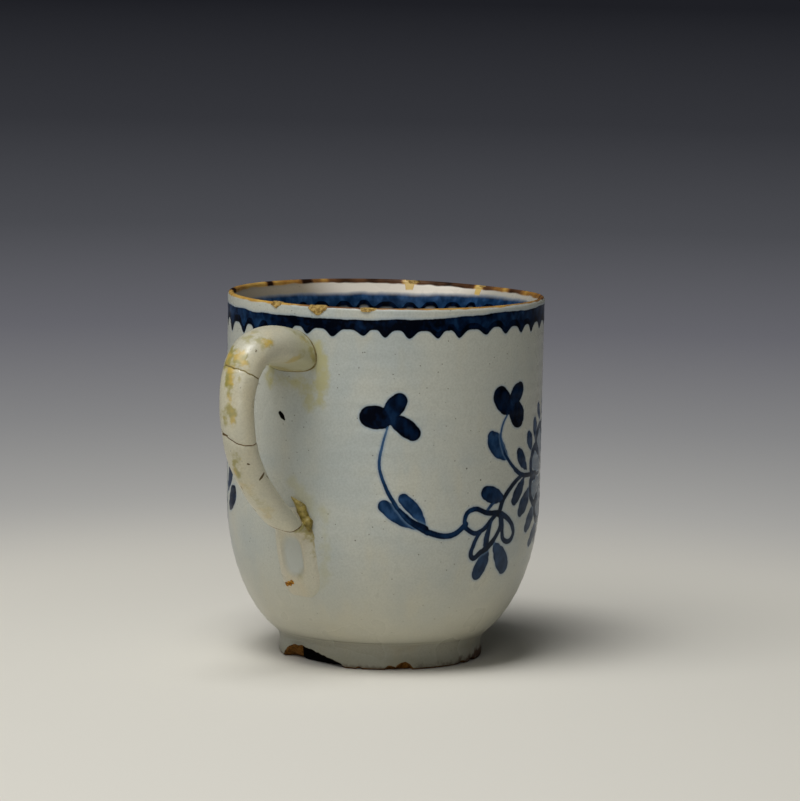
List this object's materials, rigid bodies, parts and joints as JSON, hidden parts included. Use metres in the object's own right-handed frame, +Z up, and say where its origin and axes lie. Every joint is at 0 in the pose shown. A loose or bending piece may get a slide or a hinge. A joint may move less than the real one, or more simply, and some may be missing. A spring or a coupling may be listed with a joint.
{
  "type": "coffee cup",
  "caption": "Small straight-sided earthenware coffee cup on a low foot ring, with a loop handle mended from glued fragments.",
  "frame": {"origin": "on the table, under the middle of the whole length of the cup and its handle", "axes": "+Z up along the cup's axis, -X towards the handle, +Y to the left of someone who looks towards +X"},
  "size_m": [0.0766, 0.058, 0.0664],
  "materials": {
    "bowl_glaze": "glossy grey-white tin glaze with blue painting",
    "foot_glaze": "thin tin glaze, worn to brown clay at the edge",
    "handle_glaze": "satin cream glaze and overpaint, yellowed",
    "terminal_glaze": "glossy cream and grey glaze",
    "crack_adhesive": "dark hardened adhesive",
    "old_adhesive": "yellowed olive adhesive"
  },
  "bodies": {
    "root": {"bowl": "bowl_glaze", "foot_ring": "foot_glaze", "upper_terminal_glue": "old_adhesive", "handle_arch_fragment": "handle_glaze", "upper_crack_glue": "crack_adhesive", "handle_back_fragment": "handle_glaze", "middle_crack_glue": "crack_adhesive", "handle_lower_fragment": "handle_glaze", "lower_crack_glue": "crack_adhesive", "lower_terminal": "terminal_glaze", "lower_terminal_fill": "old_adhesive"}
  },
  "joints": []
}
